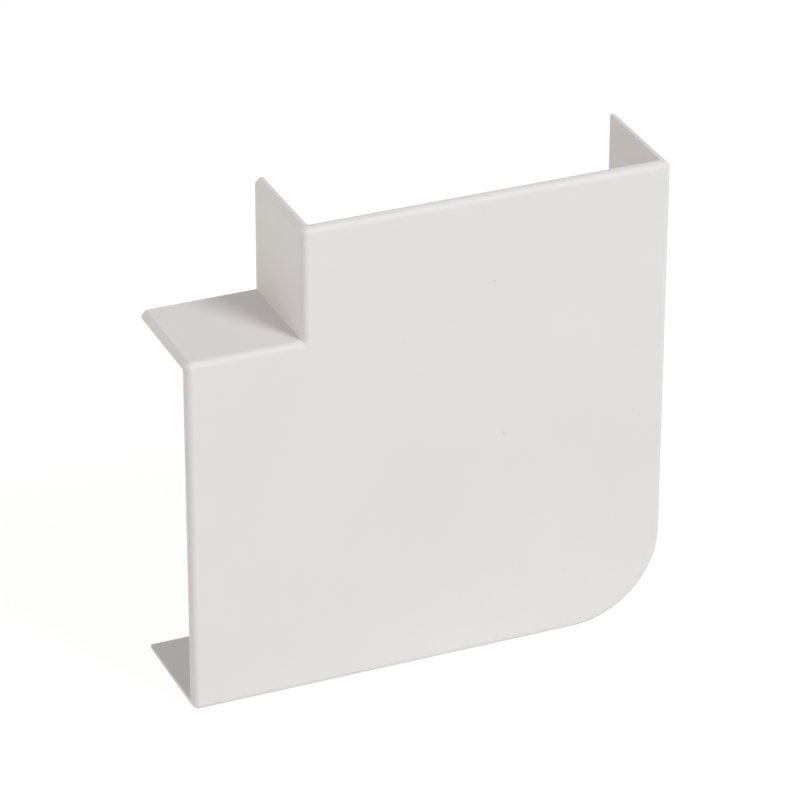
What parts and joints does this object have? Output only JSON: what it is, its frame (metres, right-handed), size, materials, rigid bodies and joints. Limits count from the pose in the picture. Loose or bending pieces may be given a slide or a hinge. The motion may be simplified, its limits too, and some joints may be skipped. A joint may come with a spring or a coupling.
{
  "type": "trunking flat bend",
  "caption": "One-piece plastic cover for a right-angle bend in small rectangular cable trunking: flat face, skirt walls, both ends and the back open, one round outer corner.",
  "frame": {"origin": "centre of the bounding box in X and Y, at the underside of the bottom wall", "axes": "the face looks to -Y and the open back to +Y; one leg opens upwards (+Z), the other to the left (-X)"},
  "size_m": [0.0556, 0.0136, 0.0555],
  "materials": {
    "shell": "satin moulded white"
  },
  "bodies": {
    "root": {"bend_cover": "shell"}
  },
  "joints": []
}
